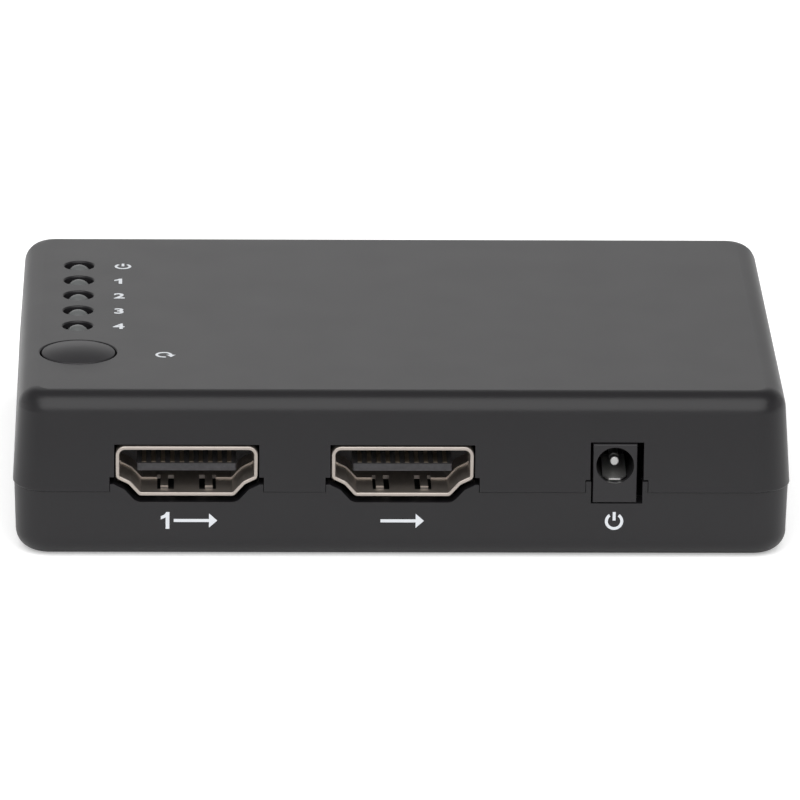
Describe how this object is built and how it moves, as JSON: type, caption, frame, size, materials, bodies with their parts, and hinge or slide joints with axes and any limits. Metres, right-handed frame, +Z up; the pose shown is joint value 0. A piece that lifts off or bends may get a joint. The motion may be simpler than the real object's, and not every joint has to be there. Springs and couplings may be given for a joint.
{
  "type": "hdmi splitter",
  "caption": "Small dark moulded box that copies one video input to several outputs, with sockets in the front and back, status lamps and a domed reset button.",
  "frame": {"origin": "middle of the footprint, on the surface that the case stands on", "axes": "+X to the right as seen from the front, +Y from the front to the back, +Z up"},
  "size_m": [0.0824, 0.058, 0.0187],
  "materials": {
    "case_plastic": "fine matte moulded dark grey plastic",
    "button_plastic": "fine matte moulded dark grey plastic",
    "lamp_plastic": "cloudy grey moulded lens",
    "socket_metal": "nickel plate, slightly warm",
    "socket_plastic": "black moulded plastic",
    "contact_gold": "thin dull gold plate",
    "jack_plastic": "black moulded plastic",
    "jack_metal": "bright nickel plate",
    "screw_metal": "zinc-plated steel",
    "board_laminate": "black solder resist on glass laminate",
    "tin_plate": "bright tin plate",
    "switch_plastic": "black moulded plastic",
    "switch_metal": "stamped steel",
    "chip_plastic": "black epoxy",
    "coil_ferrite": "dark ferrite",
    "crystal_metal": "drawn steel can",
    "can_metal": "drawn aluminium can",
    "ceramic_chip": "tan ceramic",
    "resistor_film": "black film on ceramic"
  },
  "bodies": {
    "case": {"bottom_cover": "case_plastic", "capacitor_cans": "can_metal", "capacitor_feet": "switch_plastic", "case_screws": "screw_metal", "ceramic_capacitors": "ceramic_chip", "circuit_board": "board_laminate", "clock_crystal": "crystal_metal", "hdmi_contacts_input": "contact_gold", "hdmi_contacts_output_1": "contact_gold", "hdmi_contacts_output_2": "contact_gold", "hdmi_contacts_output_3": "contact_gold", "hdmi_contacts_output_4": "contact_gold", "hdmi_shell_input": "socket_metal", "hdmi_shell_output_1": "socket_metal", "hdmi_shell_output_2": "socket_metal", "hdmi_shell_output_3": "socket_metal", "hdmi_shell_output_4": "socket_metal", "hdmi_tongue_input": "socket_plastic", "hdmi_tongue_output_1": "socket_plastic", "hdmi_tongue_output_2": "socket_plastic", "hdmi_tongue_output_3": "socket_plastic", "hdmi_tongue_output_4": "socket_plastic", "lamp_leads": "tin_plate", "lamp_output_1": "lamp_plastic", "lamp_output_2": "lamp_plastic", "lamp_output_3": "lamp_plastic", "lamp_output_4": "lamp_plastic", "lamp_power": "lamp_plastic", "memory_chip_pins": "tin_plate", "memory_chips": "chip_plastic", "power_coil": "coil_ferrite", "power_coil_pads": "tin_plate", "power_jack_body": "jack_plastic", "power_jack_leaf": "jack_metal", "power_jack_legs": "tin_plate", "power_jack_pin": "jack_metal", "resistors": "resistor_film", "splitter_chip": "chip_plastic", "splitter_chip_pins": "tin_plate", "surge_guards": "chip_plastic", "switch_base": "switch_plastic", "switch_cover": "switch_metal", "switch_legs": "tin_plate", "switch_snap_disc": "switch_metal", "top_cover": "case_plastic", "voltage_regulator": "chip_plastic", "voltage_regulator_pins": "tin_plate"},
    "button": {"reset_button": "button_plastic", "switch_plunger": "switch_plastic"}
  },
  "joints": [
    {"name": "reset_press", "type": "slide", "parent": "case", "child": "button", "axis": [0, 0, -1], "range_m": [0, 0.0003], "stiffness_N_per_m": 4000, "deforming": ["switch_snap_disc"]}
  ]
}
